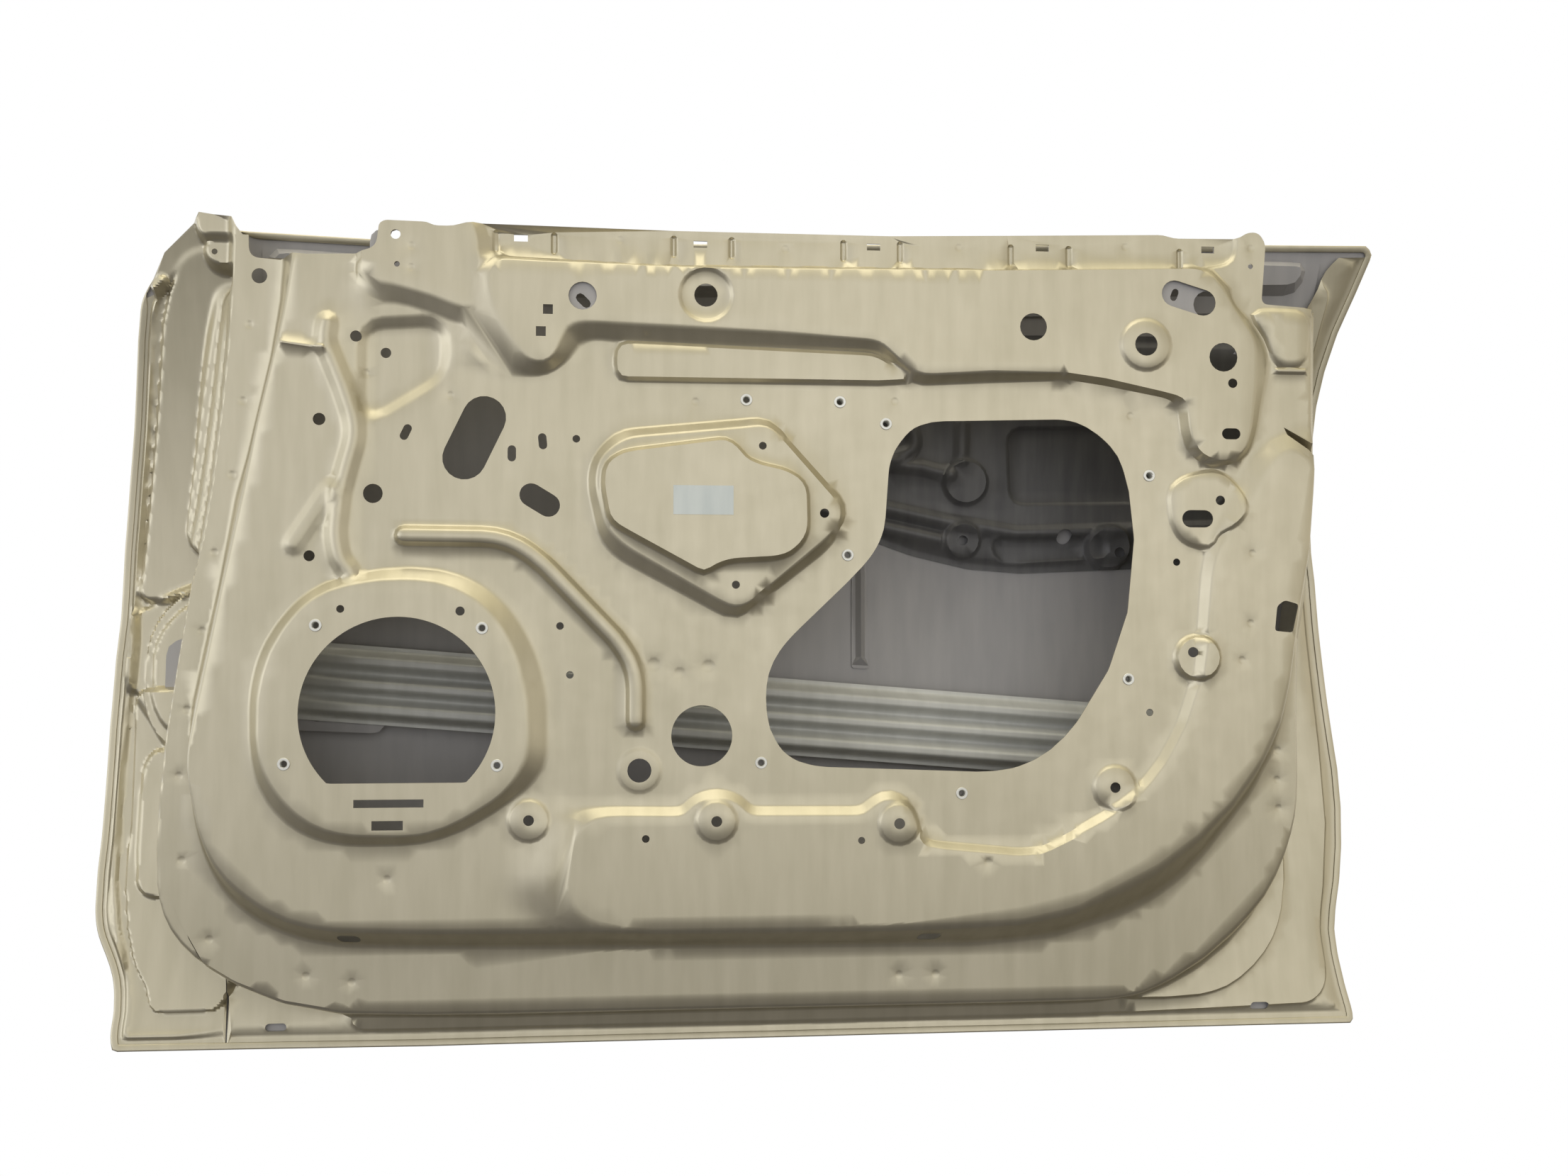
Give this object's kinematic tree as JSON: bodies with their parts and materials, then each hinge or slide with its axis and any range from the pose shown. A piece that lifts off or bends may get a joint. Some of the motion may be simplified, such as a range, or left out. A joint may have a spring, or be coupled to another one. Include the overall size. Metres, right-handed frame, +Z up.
{
  "type": "car door shell",
  "caption": "Bare pressed-steel front door shell without window frame: crowned outer skin, pressed inner panel with service and speaker openings, hinge-side panel, impact beam.",
  "frame": {"origin": "middle of the flat upper hinge face of the hinge-side panel", "axes": "+X from the hinge edge to the latch edge, +Z up the door, +Y outboard to the outer skin"},
  "size_m": [1.1909, 0.1701, 0.7482],
  "materials": {
    "body_paint": "satin champagne metallic paint with fine vertical mottling",
    "inner_face_paint": "thinner grey-beige paint of the surfaces inside the door",
    "zinc_plate": "zinc-plated steel threaded inserts"
  },
  "bodies": {
    "root": {"inner_panel": "body_paint", "hinge_panel": "body_paint", "outer_skin": "inner_face_paint", "mirror_reinforcement": "inner_face_paint", "inner_belt_rail": "inner_face_paint", "rear_belt_reinforcement": "inner_face_paint", "latch_reinforcement": "inner_face_paint", "upper_hinge_reinforcement": "inner_face_paint", "check_arm_reinforcement": "inner_face_paint", "outer_belt_rail": "inner_face_paint", "handle_stiffener": "inner_face_paint", "skin_brace": "inner_face_paint", "impact_beam": "inner_face_paint", "front_beam_bracket": "inner_face_paint", "rear_beam_bracket": "inner_face_paint", "rivet_nut_01": "zinc_plate", "rivet_nut_02": "zinc_plate", "rivet_nut_03": "zinc_plate", "rivet_nut_04": "zinc_plate", "rivet_nut_05": "zinc_plate", "rivet_nut_06": "zinc_plate", "rivet_nut_07": "zinc_plate", "rivet_nut_08": "zinc_plate", "rivet_nut_09": "zinc_plate", "rivet_nut_10": "zinc_plate", "rivet_nut_11": "zinc_plate", "rivet_nut_12": "zinc_plate"}
  },
  "joints": []
}
